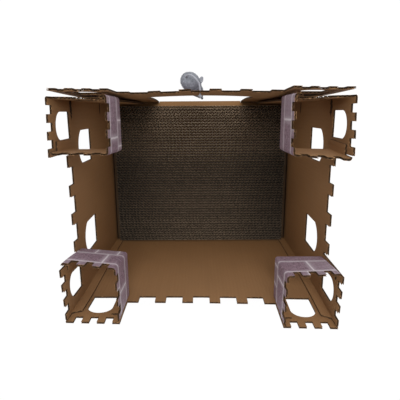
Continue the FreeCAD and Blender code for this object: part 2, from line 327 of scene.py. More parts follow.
class Node:
    """A node in a tree: reading it by name gives an output as a Wire, and writing sets an input."""

    def __init__(self, tree, node):
        self.tree = tree
        self.node = node

    def find(self, sockets, name):
        """A socket by its number, or by its name among those that the settings leave in use."""
        if isinstance(name, int):
            return sockets[name]
        return next(socket for socket in sockets if socket.enabled and socket.name == name)

    def __getitem__(self, name):
        return Wire(self.tree, self.find(self.node.outputs, name))

    def __setitem__(self, name, value):
        socket = self.find(self.node.inputs, name)
        if isinstance(value, Wire):
            self.tree.group.links.new(value.socket, socket)
        elif socket.type == "RGBA" and len(value) == 3:
            socket.default_value = (*value, 1.0)
        else:
            socket.default_value = value


class Tree:
    """A node tree under construction."""

    def __init__(self, group):
        self.group = group
        group.nodes.clear()

    def add(self, kind, settings=None, values=()):
        """Adds a node: its settings first, then the values or links of its sockets."""
        node = Node(self, self.group.nodes.new(kind))
        for name, value in (settings or {}).items():
            setattr(node.node, name, value)
        for name, value in values.items() if isinstance(values, dict) else enumerate(values):
            node[name] = value
        return node


class Shader(Tree):
    """A material under construction."""

    def __init__(self, name):
        self.material = bpy.data.materials.new(name)
        self.material.use_nodes = True
        super().__init__(self.material.node_tree)
        self.surface = self.add("ShaderNodeBsdfPrincipled")
        self.output = self.add("ShaderNodeOutputMaterial", {}, {"Surface": self.surface["BSDF"]})

    def noise(self, vector, scale, detail=3.0, roughness=0.55):
        values = {"Vector": vector, "Scale": scale, "Detail": detail, "Roughness": roughness}
        return self.add("ShaderNodeTexNoise", {}, values)["Fac"]

    def grain(self, uv, along, up, detail=3.0, roughness=0.55):
        """Noise on the unfolded board, with so many spots to the metre each way."""
        values = {"Vector": uv, "Scale": (along, up, 1.0)}
        place = self.add("ShaderNodeMapping", {}, values)["Vector"]
        return self.noise(place, 1.0, detail, roughness)

    def mix(self, factor, first, second, blend="MIX"):
        settings = {"data_type": "RGBA", "blend_type": blend}
        values = {"Factor": factor, "A": first, "B": second}
        return self.add("ShaderNodeMix", settings, values)["Result"]

    def shade(self, colour, factor):
        """Multiplies a colour by a number that is near 1."""
        grey = self.add("ShaderNodeCombineXYZ", {}, (factor, factor, factor))["Vector"]
        return self.mix(1.0, colour, grey, "MULTIPLY")

    def finish(self, colour, roughness, height=None, strength=0.3, distance=0.001, gloss=0.3):
        self.surface["Base Color"] = colour
        self.surface["Roughness"] = roughness
        self.surface["Specular IOR Level"] = gloss
        if height is not None:
            values = {"Height": height, "Strength": strength, "Distance": distance}
            self.surface["Normal"] = self.add("ShaderNodeBump", {}, values)["Normal"]
        return self.material


class Grower(Tree):
    """A Geometry Nodes tree with named inputs, which ends in one finished mesh."""

    def __init__(self, name, inputs):
        super().__init__(bpy.data.node_groups.new(name, "GeometryNodeTree"))
        self.declare("Geometry", "INPUT", "Geometry")
        for label, kind in inputs.items():
            self.declare(label, "INPUT", kind)
        self.declare("Geometry", "OUTPUT", "Geometry")
        self.inputs = self.add("NodeGroupInput")

    def declare(self, label, way, kind):
        self.group.interface.new_socket(label, in_out=way, socket_type="NodeSocket" + kind)

    def vector(self, x, y, z):
        return self.add("ShaderNodeCombineXYZ", {}, (x, y, z))["Vector"]

    def random(self, low, high, number, seed):
        """A random number for each curve, point or face with that number."""
        values = {"Min": low, "Max": high, "ID": number, "Seed": seed}
        return self.add("FunctionNodeRandomValue", {}, values)["Value"]

    def end(self, geometry):
        plain = self.add("GeometryNodeRealizeInstances", {}, {"Geometry": geometry})["Geometry"]
        values = {"Geometry": plain, "Material": self.inputs["Material"]}
        dressed = self.add("GeometryNodeSetMaterial", {}, values)["Geometry"]
        self.add("NodeGroupOutput", {}, {"Geometry": dressed})

    def grow(self, name, values, mesh=None):
        """Runs the tree on a mesh and keeps what it makes as a plain mesh."""
        host = new_object(name + "_base", mesh or bpy.data.meshes.new(name + "_base"))
        modifier = host.modifiers.new("grow", "NODES")
        modifier.node_group = self.group
        for socket in self.group.interface.items_tree:
            if socket.in_out == "INPUT" and socket.name in values:
                modifier[socket.identifier] = values[socket.name]
        return settled(name, host)


def made_once(build):
    """A material is built at its first use and shared after that."""

    def get():
        name = "cat_house_" + build.__name__
        return bpy.data.materials.get(name) or build(Shader(name))

    return get

    return get
def board_place(shader):
    """Where a point lies on its unfolded board, in metres."""
    uv = shader.add("ShaderNodeUVMap", {"uv_map": "board"})["UV"]
    parts = shader.add("ShaderNodeSeparateXYZ", {}, (uv,))
    return uv, parts["X"], parts["Y"]


@made_once
def kraft_paper(shader):
    """Plain brown paper, washboarded by the flutes, with painted shade: darker deeper in the box and at
    the walls' feet, more orange towards the floor as painted bounce light, and torn slots at the front
    towers drawn as dark painted shade.
    """
    board = bpy.context.scene.cat_house_board
    uv, along, _ = board_place(shader)
    place = shader.add("ShaderNodeTexCoord")["Object"]
    parts = shader.add("ShaderNodeSeparateXYZ", {}, (place,))
    flutes = (along * (2 * math.pi / board.flute_pitch)).sin()
    clouds = shader.noise(place, 9.0, 4.0)
    fibres = shader.grain(uv, 900.0, 260.0)
    streaks = shader.grain(uv, 110.0, 7.0)
    specks = shader.noise(place, 640.0, 1.0).ramp(0.69, 0.76)
    tone = 0.78 + clouds * 0.2 + fibres * 0.12 + streaks * 0.12 + flutes * 0.012 - specks * 0.16
    # Painted shade: darker in a narrow band at the walls' feet and along the pad, except at the front
    # wall and its door
    painted_foot_shade = parts["Z"].ramp(0.008, 0.022, 0.8, 0.0) * (parts["Y"] > -0.151)
    # Painted shade: the paper is drawn darker lower down in the box
    painted_depth_shade = parts["Z"].ramp(0.03, 0.25, 0.84, 1.0)
    # Painted warm bounce light: the kraft goes more orange towards the floor
    painted_warm_bounce = shader.mix(parts["Z"].ramp(0.3, 0.02), tuple(board.kraft), tuple(board.low_kraft))
    # Painted shade: a dark ragged slot mark and a thin dark line under it, standing in for the shade in
    # an opening
    torn = (shader.noise(place, 190.0, 2.0) - 0.5) * 0.011
    level = (parts["Z"] - SLOT_LEVEL + torn).abs().low((parts["Z"] - TAB_LEVEL).abs() + 0.002)
    opening = parts["Y"].ramp(*SLOT_Y, SLOT_HALF_HEIGHT, 0.0) * (parts["Y"] > SLOT_FRONT)
    slot = (level < opening) * (parts["X"].abs() > SIDE_WALL_X)
    colour = shader.shade(painted_warm_bounce, tone * painted_depth_shade * (1 - painted_foot_shade) * (1 - slot * 0.88))
    relief = flutes * 0.4 + fibres * 0.3
    return shader.finish(colour, clouds.ramp(0.3, 0.7, 0.72, 0.86), relief, 0.35, 0.0004)


@made_once
def cut_paper(shader):
    """Raw edges and the wavy paper between the flat ones, drawn dark as painted shade inside the
    flutes.
    """
    board = bpy.context.scene.cat_house_board
    place = shader.add("ShaderNodeTexCoord")["Object"]
    fibres = shader.noise(place, 700.0, 3.0)
    clouds = shader.noise(place, 40.0, 2.0)
    # Painted shade: the dark fluting colour stands in for the shade inside the cells
    colour = shader.shade(tuple(board.flute), 0.7 + fibres * 0.35 + clouds * 0.25)
    return shader.finish(colour, 0.9, fibres, 0.5, 0.0003)


@made_once
def cut_edge(shader):
    """The flat papers' cut edges: drawn dark as painted shade of the flute cells they lie in, with pale
    torn dashes.
    """
    board = bpy.context.scene.cat_house_board
    place = shader.add("ShaderNodeTexCoord")["Object"]
    dashes = shader.noise(place, 150.0, 2.0).ramp(0.5, 0.66)
    fibres = shader.noise(place, 800.0, 3.0)
    # Painted shade: the edges are drawn at about a quarter of the kraft's brightness
    colour = shader.shade(tuple(board.kraft), 0.25 + fibres * 0.3 + dashes * 0.75)
    return shader.finish(colour, 0.9, fibres, 0.5, 0.0003)


@made_once
def printed_stone(shader):
    """Courses of mauve stone with pale joints, printed on the outside of the board."""
    board = bpy.context.scene.cat_house_board
    uv, along, height = board_place(shader)
    wobble = shader.grain(uv, 26.0, 26.0, 2.0) - 0.5
    rise = (height + wobble * 0.0035) / board.course + 0.75
    course = rise.floor()
    shift = (course * 12.9898).sin() * 43.5
    stretch = (course * 3.7).sin() * 0.12 + 1
    run = (along + wobble * 0.003) / board.stone_length * stretch + shift

    def chance(number):
        """A number from 0 to 1 for each place in a course."""
        seed = shader.add("ShaderNodeCombineXYZ", {}, (number, course, 0.0))["Vector"]
        settings = {"noise_dimensions": "2D"}
        return shader.add("ShaderNodeTexWhiteNoise", settings, {"Vector": seed})["Value"]

    place = run.floor()
    across = run.fract()
    upward = rise.fract()
    past_joint = across - chance(place) * 0.55
    stone = place - (past_joint < 0)
    tint = chance(stone + 0.5)
    to_next = 1 + chance(place + 1) * 0.55 - across
    gap_side = past_joint.abs().low(to_next) * board.stone_length
    gap_level = upward.low(1 - upward) * board.course
    gap = gap_side.low(gap_level)
    ragged = shader.grain(uv, 420.0, 420.0)
    joint = 1 - (gap + (ragged - 0.5) * 0.0016).ramp(0.0006, 0.0016)
    halo = 1 - (gap + (ragged - 0.5) * 0.004).ramp(0.0, 0.0075)
    grain = shader.grain(uv, 230.0, 230.0, 6.0, 0.7)
    brush = shader.grain(uv, 60.0, 190.0, 4.0, 0.6)
    cloud = shader.grain(uv, 30.0, 30.0)
    specks = shader.grain(uv, 560.0, 560.0, 2.0)
    rough = grain.ramp(0.38, 0.62) * 0.45 + specks.ramp(0.38, 0.65) * 0.5
    tone = 0.22 + rough + cloud * 0.4 + tint * 0.36
    stones = shader.shade(tuple(board.stone), tone)
    stones = shader.mix(tint.ramp(0.45, 1.0, 0.0, 0.35), stones, tuple(board.grey_stone))
    lit = (halo * 0.62 + brush.ramp(0.52, 0.72) * 0.35).low(1.0) * (0.35 + ragged * 0.9)
    stones = shader.mix(lit, stones, tuple(board.light_stone))
    colour = shader.mix(joint * (0.7 + ragged * 0.3), stones, tuple(board.mortar))
    flutes = (along * (2 * math.pi / board.flute_pitch)).sin()
    return shader.finish(colour, 0.62, flutes, 0.3, 0.0004)


@made_once
def pad_paper(shader):
    """Recycled paper of the scratching strips, with painted light and shade: the sides near black for
    the shade in the cells, the upward cut edges paler where light falls on them, and a painted pool of
    light brightest at the front middle.
    """
    pad = bpy.context.scene.cat_house_pad
    coordinates = shader.add("ShaderNodeTexCoord")
    place = coordinates["Object"]
    facing_up = shader.add("ShaderNodeSeparateXYZ", {}, (coordinates["Normal"],))["Z"]
    fibres = shader.noise(place, 520.0, 3.0)
    clouds = shader.noise(place, 14.0, 3.0)
    # Painted light: faces that point up get the lit, paler colour
    edge = facing_up.ramp(0.4, 0.6)
    parts = shader.add("ShaderNodeSeparateXYZ", {}, (place,))
    # Painted pool of light: brightest at the front middle, darker towards the sides and the back
    painted_light_pool = parts["X"].abs().ramp(0.03, 0.2, 1.0, 0.5) * parts["Y"].ramp(-0.16, 0.0, 3.0, 0.86)
    low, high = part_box("scratcher_pad")
    strip = ((parts["Y"] - low[1]) * (pad.strips / (high[1] - low[1]))).floor()
    settings = {"noise_dimensions": "1D"}
    own = shader.add("ShaderNodeTexWhiteNoise", settings, {"W": strip})["Value"]
    torn = shader.noise(place, 430.0, 1.0).ramp(0.36, 0.64, 0.3, 1.7)
    tone = (0.55 + fibres * 0.5 + clouds * 0.2) * painted_light_pool * torn * (0.86 + own * 0.26)
    colour = shader.shade(tuple(pad.paper_colour), tone)
    pale = shader.shade(tuple(pad.edge_colour), tone)
    return shader.finish(shader.mix(edge, colour, pale), 0.92, fibres, 0.4, 0.0004)


@made_once
def grey_plush(shader):
    """Short grey pile."""
    mouse = bpy.context.scene.cat_house_mouse
    place = shader.add("ShaderNodeTexCoord")["Object"]
    pile = shader.noise(place, 900.0, 3.0)
    tufts = shader.noise(place, 210.0, 3.0)
    tone = 0.2 + pile * 0.7 + tufts * 0.85
    colour = shader.shade(tuple(mouse.plush), tone)
    shader.surface["Sheen Weight"] = 0.06
    shader.surface["Sheen Roughness"] = 0.5
    return shader.finish(colour, 0.95, pile * 0.6 + tufts, 0.8, 0.0012, 0.05)


@made_once
def grey_felt(shader):
    """Pressed felt of the ears and the tail."""
    mouse = bpy.context.scene.cat_house_mouse
    place = shader.add("ShaderNodeTexCoord")["Object"]
    wool = shader.noise(place, 700.0, 4.0)
    tone = 0.72 + wool * 0.5
    colour = shader.shade(tuple(mouse.felt), tone)
    shader.surface["Sheen Weight"] = 0.25
    return shader.finish(colour, 0.95, wool, 0.5, 0.0006)


@made_once
def dark_bead(shader):
    """Glossy black beads of the eyes and nose."""
    mouse = bpy.context.scene.cat_house_mouse
    place = shader.add("ShaderNodeTexCoord")["Object"]
    dust = shader.noise(place, 300.0, 2.0)
    colour = shader.shade(tuple(mouse.bead), 0.8 + dust * 0.5)
    return shader.finish(colour, dust.ramp(0.3, 0.8, 0.16, 0.34))


class FoldedPath:
    """The printed face of a board in plan: straight runs with rounded folds between them.

    The board lies to the right of the path, and every fold turns to the right.
    """

    def __init__(self, corners, radius=0.0):
        self.pieces = []
        self.length = 0.0
        corners = [Vector(corner) for corner in corners]
        start = corners[0]
        for index in range(1, len(corners)):
            last = index == len(corners) - 1
            direction = (corners[index] - corners[index - 1]).normalized()
            reach = 0.0 if last else radius
            stop = corners[index] - direction * reach
            self.extend((stop - start).length, start, direction, None)
            if not last:
                centre = stop + self.right(direction) * radius
                self.extend(radius * math.pi / 2, centre, direction, radius)
                onward = (corners[index + 1] - corners[index]).normalized()
                start = corners[index] + onward * radius

    def right(self, direction):
        return Vector((direction.y, -direction.x))

    def extend(self, length, place, direction, radius):
        self.pieces.append((self.length, length, place, direction, radius))
        self.length += length

    def locate(self, distance, depth):
        """The place in plan at a distance along the path and a depth into the board."""
        for begin, length, place, direction, radius in self.pieces:
            if distance <= begin + length + TINY:
                break
        step = distance - begin
        if radius is None:
            return place + direction * step + self.right(direction) * depth
        turn = step / radius
        outward = -self.right(direction) * math.cos(turn) + direction * math.sin(turn)
        return place + outward * (radius - depth)

    def distances(self, point):
        """Distances along the straight runs at which a corner of the board lies."""
        found = []
        for begin, length, place, direction, radius in self.pieces:
            offset = Vector((point.x, point.y)) - place
            step = offset.dot(direction)
            depth = offset.dot(self.right(direction))
            on_run = radius is None and -TINY < step < length + TINY
            if on_run and -TINY - CLOSE < depth < BOARD + CLOSE:
                found.append(begin + min(max(step, 0.0), length))
        return found

    def folds(self):
        """Distances along the folds at which the board bends."""
        found = []
        for begin, length, place, direction, radius in self.pieces:
            if radius is not None:
                found += [begin + length * share for share in (0, 0.25, 0.5, 0.75, 1)]
        return found


class Outline:
    """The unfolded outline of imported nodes, read by rays up through the middle of the board."""

    def __init__(self, nodes, path, turned=Matrix.Identity(4)):
        self.path = path
        self.turned = turned
        back = turned.inverted()
        places = []
        faces = []
        for node in nodes:
            mesh = frame["nodes"][node].data
            offset = len(places)
            places += [back @ vertex.co for vertex in mesh.vertices]
            faces += [[offset + index for index in face.vertices] for face in mesh.polygons]
        self.tree = BVHTree.FromPolygons(places, faces)
        self.low = min(place.z for place in places)
        self.stops = set(path.folds())
        for place in places:
            self.stops.update(path.distances(place))

    def spans(self, distance):
        """The heights between which there is board at a distance along the path."""
        plan = self.path.locate(distance, 0.47 * BOARD)
        start = Vector((plan.x, plan.y, self.low - 0.01))
        heights = []
        while True:
            hit = self.tree.ray_cast(start, UP)[0]
            if hit is None:
                break
            heights.append(hit.z)
            start = hit + UP * HAIR
        if len(heights) % 2:
            return []
        spans = [[heights[i], heights[i + 1]] for i in range(0, len(heights), 2)]
        merged = spans[:1]
        for span in spans[1:]:
            if span[0] - merged[-1][1] < CLOSE:
                merged[-1][1] = span[1]
            else:
                merged.append(span)
        return merged

    def columns(self, step):
        """Narrow upright slices of the board, each with straight sides and four corners."""
        steps = int(self.path.length / step) + 1
        marks = sorted(self.stops)
        extra = [self.path.length * i / steps for i in range(steps + 1)]
        cuts = []
        for mark in marks:
            if not cuts or mark - cuts[-1] > 4 * HAIR:
                cuts.append(mark)
        cuts += [mark for mark in extra if min(abs(mark - stop) for stop in marks) > step * 0.3]
        cuts.sort()
        slices = []
        for start, stop in zip(cuts, cuts[1:]):
            inset = min(HAIR, (stop - start) * 0.1)
            near = self.spans(start + inset)
            far = self.spans(stop - inset)
            if len(near) == len(far):
                slices += [(start, stop, low, high) for low, high in zip(near, far)]
        return slices


def clip(corners, level, keep_above):
    """The part of a flat outline above or below a level."""
    kept = []
    for index, corner in enumerate(corners):
        before = corners[index - 1]
        inside = corner[1] >= level if keep_above else corner[1] <= level
        was_inside = before[1] >= level if keep_above else before[1] <= level
        if inside != was_inside:
            share = (level - before[1]) / (corner[1] - before[1])
            kept.append((before[0] + (corner[0] - before[0]) * share, level))
        if inside:
            kept.append(corner)
    return kept


def tiles(slices, row):
    """Cuts upright slices at level rows, so that a bent board has places to bend."""
    found = []
    for start, stop, near, far in slices:
        corners = [(start, near[0]), (stop, far[0]), (stop, far[1]), (start, near[1])]
        level = math.floor(min(near[0], far[0]) / row) * row
        while level < max(near[1], far[1]):
            part = clip(clip(corners, level, True), level + row, False)
            if len(part) > 2:
                found.append(part)
            level += row
    return found


# A board's finishes, by the number of their material
OUTER, INNER, RAW, EDGE = range(4)


class BoardMesh:
    """Gathers the papers of one board: vertices, faces, finishes and unfolded places."""

    def __init__(self):
        self.places = []
        self.flat = []
        self.faces = []
        self.finishes = []

    def paper(self, parts, near, far, finish_near, finish_far):
        """One sheet of paper between two depths, closed round its rim."""
        numbers = {}
        corners = []
        faces = []
        for part in parts:
            face = []
            for distance, height in part:
                key = (round(distance / GRID), round(height / GRID))
                if key not in numbers:
                    numbers[key] = len(corners)
                    corners.append((distance, height))
                if numbers[key] not in face:
                    face.append(numbers[key])
            if len(face) > 2:
                faces.append(face)
        count = len(corners)
        base = len(self.places)
        for depth in (near, far):
            for distance, height in corners:
                self.places.append((distance, depth(distance), height))
                self.flat.append((distance, height))
        rim = {}
        for face in faces:
            self.add([base + number for number in face], finish_near)
            self.add([base + count + number for number in reversed(face)], finish_far)
            for i, number in enumerate(face):
                rim[face[i - 1], number] = True
        for start, stop in rim:
            if (stop, start) not in rim:
                front = [base + stop, base + start]
                self.add(front + [base + count + start, base + count + stop], EDGE)

    def add(self, face, finish):
        self.faces.append(face)
        self.finishes.append(finish)

    def build(self, name, path, turned, warp, materials):
        """Folds the flat board along its path and makes it a Blender object."""
        places = []
        for distance, depth, height in self.places:
            plan = path.locate(distance, depth)
            place = turned @ Vector((plan.x, plan.y, height))
            places.append(place + warp(place))
        mesh = bpy.data.meshes.new(name)
        mesh.from_pydata(places, [], self.faces)
        for material in materials:
            mesh.materials.append(material)
        mesh.polygons.foreach_set("material_index", self.finishes)
        layer = mesh.uv_layers.new(name="board")
        for loop in mesh.loops:
            layer.data[loop.index].uv = self.flat[loop.vertex_index]
        mesh.validate()
        return new_object(name, mesh)


def new_object(name, data):
    piece = bpy.data.objects.new(name, data)
    bpy.context.scene.collection.objects.link(piece)
    return piece


def settled(name, source):
    """A new piece with the mesh that an object's curve or modifiers give. The object goes."""
    graph = bpy.context.evaluated_depsgraph_get()
    mesh = bpy.data.meshes.new_from_object(source.evaluated_get(graph))
    bpy.data.objects.remove(source)
    return new_object(name, mesh)


def clamped(share):
    return min(max(share, 0.0), 1.0)


def eased(value, start, stop):
    """Rises smoothly from 0 to 1 as the value goes from start to stop."""
    share = clamped((value - start) / (stop - start))
    return share * share * (3 - 2 * share)


def no_warp(place):
    return Vector()


def lean_in(place):
    """How far the walls lean in there: one side more than the other."""
    side = place.x / HALF_WIDTH
    side_lean = bpy.context.scene.cat_house_board.side_lean
    return side_lean * (1 + UNEVEN_LEAN * side) * clamped(place.z / RIM) ** 2


def castle_warp(place):
    """The side walls and the towers' tops lean in, and the back rim is a little askew."""
    board = bpy.context.scene.cat_house_board
    side = place.x / HALF_WIDTH
    tower = max(place.z - RIM, 0.0) / TOWER_HEIGHT
    inward = lean_in(place) + board.pinch * tower * eased(abs(place.y), *PINCH_FROM_MIDDLE)
    rise = clamped(place.z / RIM) ** 2 if side < 0 else eased(place.z, *TWIST_Z)
    along = -side * board.twist * rise * (1 + 0.3 * tower) * eased(place.y, *TWIST_Y)
    return Vector((-side * inward, along, 0))


def flap_slide(place):
    """How far back a front flap stands there at its top."""
    return bpy.context.scene.cat_house_board.flap_lean * eased(abs(place.x), *FLAP_X)


def side_warp(place):
    """The side boards' front flaps stand back at their free ends."""
    lean = flap_slide(place) * eased(place.y, *FLAP_Y) * clamped(place.z / RIM) ** 2
    return castle_warp(place) + Vector((0, lean, 0))


def front_warp(place):
    """The front wall's rim bows out, it bulges beside the door, and one tower face is bent."""
    board = bpy.context.scene.cat_house_board
    side = place.x / HALF_WIDTH
    height = max(place.z, 0.0) / RIM
    tower = max(place.z - RIM, 0.0) / TOWER_HEIGHT
    middle = math.cos(min(abs(place.x) / FRONT_HALF_WIDTH, 1.0) * math.pi / 2) ** 2
    inward = lean_in(place) + 2 * board.pinch * tower
    belly = board.belly * math.sin(math.pi * min(height / BELLY_TOP, 1.0))
    bow = board.bow * min(height, 1.1) ** 7 * middle * (1 - eased(side, 0.0, BOW_END))
    bent = 0.4 * tower * flap_slide(place) * (place.x > 0)
    return Vector((-side * inward, bent - belly - bow, 0))


def corrugated(name, nodes, path, body, outer, turned=Matrix.Identity(4), warp=castle_warp):
    """A board of two flat papers and a wavy one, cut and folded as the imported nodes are."""
    board = bpy.context.scene.cat_house_board
    outline = Outline(nodes, path, turned)
    skin = board.paper
    swing = (BOARD - 3 * skin) / 2

    def wave(distance):
        return BOARD / 2 + swing * math.sin(2 * math.pi * distance / board.flute_pitch)

    mesh = BoardMesh()
    flat_parts = tiles(outline.columns(FLAT_STEP), FLAT_ROW)
    wavy_parts = tiles(outline.columns(board.flute_pitch / POINTS_PER_FLUTE), WAVY_ROW)
    mesh.paper(flat_parts, lambda s: 0.0, lambda s: skin, OUTER, RAW)
    mesh.paper(flat_parts, lambda s: BOARD - skin, lambda s: BOARD, RAW, INNER)
    mesh.paper(wavy_parts, lambda s: wave(s) - skin / 2, lambda s: wave(s) + skin / 2, RAW, RAW)
    materials = [outer, kraft_paper(), cut_paper(), cut_edge()]
    piece = mesh.build(name, path, turned, warp, materials)
    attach(piece, body)
    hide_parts(*nodes)
    return piece


class CATHOUSE_OT_walls(bpy.types.Operator):
    """Makes the front wall, the back wall and the side boards with their folded flaps"""

    bl_idname = "cathouse.walls"
    bl_label = "Walls"

    def execute(self, context):
        low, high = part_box("back_wall")
        path = FoldedPath([(low[0], high[1]), (high[0], high[1])])
        back = corrugated("back_board", ["back_wall"], path, "castle", printed_stone())
        lean = Matrix.Rotation(FRONT_LEAN, 4, "X")
        turned = Matrix.Translation(FRONT_FOOT) @ lean @ Matrix.Translation(-FRONT_FOOT)
        foot = FRONT_FOOT.y
        path = FoldedPath([(high[0], foot), (low[0], foot)])
        front = corrugated(
            "front_board", ["front_wall"], path, "front_wall", printed_stone(), turned, front_warp
        )
        self.side_board("right", 1)
        self.side_board("left", -1)
        return {"FINISHED"}

    def side_board(self, name, side):
        """A side wall with its front flap and its glued flap, folded from one board."""
        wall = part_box(name + "_wall")
        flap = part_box(name + "_front_flap")
        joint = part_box(name + "_joint_flap")
        outer = max(abs(wall[0][0]), abs(wall[1][0]))
        flap_end = min(abs(flap[0][0]), abs(flap[1][0]))
        joint_end = min(abs(joint[0][0]), abs(joint[1][0]))
        front = flap[0][1]
        back = joint[1][1]
        ends = [(flap_end, front), (outer, front), (outer, back), (joint_end, back)]
        corners = [(x * side, y) for x, y in ends]
        if side > 0:
            corners.reverse()
        path = FoldedPath(corners, WALL_FOLD)
        nodes = [name + "_wall", name + "_front_flap", name + "_joint_flap"]
        piece = corrugated(
            name + "_side_board", nodes, path, "castle", printed_stone(), warp=side_warp
        )


# How far each liner's cross face has slid in y: low and high up at its inner fold, low and high up
# at its tab. The last number is how far its other end reaches out beyond the castle's flaps.
LINER_SLIDES = {
    "front_left_tower_liner": (0.0, 0.0, 0.002, 0.007, 0.0058),
    "front_right_tower_liner": (0.0, -0.0025, 0.0, -0.003, 0.005),
    "back_left_tower_liner": (0.006, 0.0, 0.004, -0.006, 0.0),
    "back_right_tower_liner": (0.0, -0.006, -0.007, -0.0125, 0.0),
}


class CATHOUSE_OT_tower_liners(bpy.types.Operator):
    """Makes the folded boards that close the inner faces of the towers"""

    bl_idname = "cathouse.tower_liners"
    bl_label = "Tower liners"

    def execute(self, context):
        for end_name, end in (("front", -1), ("back", 1)):
            for side_name, side in (("left", -1), ("right", 1)):
                self.liner(f"{end_name}_{side_name}_tower_liner", side, end)
        return {"FINISHED"}

    def liner(self, node, side, end):
        low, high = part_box(node)
        inner_x, wall_x = sorted((abs(low[0]), abs(high[0])))
        inner_y, wall_y = sorted((abs(low[1]), abs(high[1])))
        ends = [
            (wall_x, inner_y + TAB),
            (wall_x, inner_y),
            (inner_x, inner_y),
            (inner_x, wall_y),
            (inner_x + TAB, wall_y),
        ]
        corners = [(x * side, y * end) for x, y in ends]
        if side * end < 0:
            corners.reverse()
        path = FoldedPath(corners, LINER_FOLD)
        fold_low, fold_high, tab_low, tab_high, reach = LINER_SLIDES[node]

        def slid(place):
            out = clamped((abs(place.x) - inner_x) / (wall_x - inner_x))
            away = clamped((wall_y - abs(place.y)) / (wall_y - inner_y))
            rise = clamped((place.z - RIM) / TOWER_HEIGHT)
            low_slide = fold_low + (tab_low - fold_low) * out
            high_slide = fold_high + (tab_high - fold_high) * out
            slide = low_slide + (high_slide - low_slide) * rise
            return castle_warp(place) + Vector((0, slide * away + end * reach * (1 - away), 0))

        outer = printed_stone()
        piece = corrugated(node + "_board", [node], path, "castle", outer, warp=slid)


class CATHOUSE_OT_floor(bpy.types.Operator):
    """Makes the floor board and the bottom flaps"""

    bl_idname = "cathouse.floor"
    bl_label = "Floor"

    def execute(self, context):
        for node in ("floor_panel", "left_bottom_flap", "right_bottom_flap"):
            self.flat_board(node, *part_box(node))
        return {"FINISHED"}

    def flat_board(self, node, low, high):
        """A level board: its plan is (x, -z) and its upright is y."""
        turned = Matrix(((1, 0, 0, 0), (0, 0, 1, 0), (0, -1, 0, 0), (0, 0, 0, 1)))
        path = FoldedPath([(low[0], -low[2]), (high[0], -low[2])])
        piece = corrugated(node + "_board", [node], path, "castle", kraft_paper(), turned, no_warp)


class CATHOUSE_OT_scratching_pad(bpy.types.Operator):
    """Makes the scratching pad: strips of corrugated board glued side by side, on edge"""

    bl_idname = "cathouse.scratching_pad"
    bl_label = "Scratching pad"

    def execute(self, context):
        pad = context.scene.cat_house_pad
        low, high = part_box("scratcher_pad")
        strip = (high[1] - low[1]) / pad.strips
        # Room for what the strips' ends and edges stand out by
        length = high[0] - low[0] - 0.0006
        room = pad.unevenness + 0.0002
        values = {
            "Strips": pad.strips,
            "Strip": strip,
            "Length": length,
            "Height": high[2] - low[2] - 2 * room,
            "Level": (low[2] + high[2]) / 2,
            "Unevenness": pad.unevenness,
            "Paper": pad.paper,
            "Wave pitch": pad.wave_pitch,
            "Seed": 0,
            "Material": pad_paper(),
        }
        wave_points = int(length / pad.wave_pitch * pad.wave_points)
        straight_points = 14
        layers = {
            "pad_front_papers": (pad.paper, 0.0, straight_points),
            "pad_back_papers": (strip - pad.paper, 0.0, straight_points),
            "pad_flutes": (strip / 2, strip / 2 - 2 * pad.paper, wave_points),
        }
        plies = self.plies()
        for name, (offset, swing, points) in layers.items():
            values["Start"] = low[1] + offset
            values["Wave height"] = swing
            values["Points"] = points
            piece = plies.grow(name, values)
            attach(piece, "scratcher_pad")
            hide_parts("scratcher_pad")
        return {"FINISHED"}

    def plies(self):
        """One paper of every strip: straight, or in waves whose phase differs from strip to strip."""
        kinds = ("Strip", "Length", "Height", "Level", "Start", "Wave height", "Wave pitch", "Paper")
        inputs = dict.fromkeys(kinds, "Float")
        inputs.update({"Unevenness": "Float", "Strips": "Int", "Points": "Int", "Seed": "Int"})
        inputs["Material"] = "Material"
        tree = Grower("pad_plies", inputs)
        given = tree.inputs
        half = given["Length"] / 2
        ends = {"Start": tree.vector(half * -1, 0.0, 0.0), "End": tree.vector(half, 0.0, 0.0)}
        line = tree.add("GeometryNodeCurvePrimitiveLine", {}, ends)["Curve"]
        values = {"Curve": line, "Count": given["Points"]}
        line = tree.add("GeometryNodeResampleCurve", {}, values)["Curve"]
        values = {
            "Count": given["Strips"],
            "Start Location": tree.vector(0.0, given["Start"], given["Level"]),
            "Offset": tree.vector(0.0, given["Strip"], 0.0),
        }
        rows = tree.add("GeometryNodeMeshLine", {"mode": "OFFSET"}, values)["Mesh"]
        values = {"Points": rows, "Instance": line}
        rows = tree.add("GeometryNodeInstanceOnPoints", {}, values)["Instances"]
        lines = tree.add("GeometryNodeRealizeInstances", {}, {"Geometry": rows})["Geometry"]
        strip = tree.add("GeometryNodeCurveOfPoint")["Curve Index"]
        drift = (strip * 0.12).sin() * 1.6
        phase = tree.random(0.0, 0.22, strip, given["Seed"]) + drift
        lift = tree.random(-1.0, 1.0, strip, given["Seed"] + 7)
        shift = tree.random(-1.0, 1.0, strip, given["Seed"] + 13)
        place = tree.add("GeometryNodeInputPosition")["Position"]
        x = tree.add("ShaderNodeSeparateXYZ", {}, (place,))["X"]
        swing = ((x / given["Wave pitch"] + phase) * (2 * math.pi)).sin() * given["Wave height"]
        values = {
            "Geometry": lines,
            "Offset": tree.vector(shift * 0.0002, swing, lift * given["Unevenness"]),
        }
        lines = tree.add("GeometryNodeSetPosition", {}, values)["Geometry"]
        lines = tree.add("GeometryNodeSetCurveNormal", {"mode": "Z_UP"}, {"Curve": lines})["Curve"]
        values = {"Width": given["Paper"], "Height": given["Height"]}
        section = tree.add("GeometryNodeCurvePrimitiveQuadrilateral", {}, values)["Curve"]
        values = {"Curve": lines, "Profile Curve": section, "Fill Caps": True}
        tree.end(tree.add("GeometryNodeCurveToMesh", {}, values)["Mesh"])
        return tree


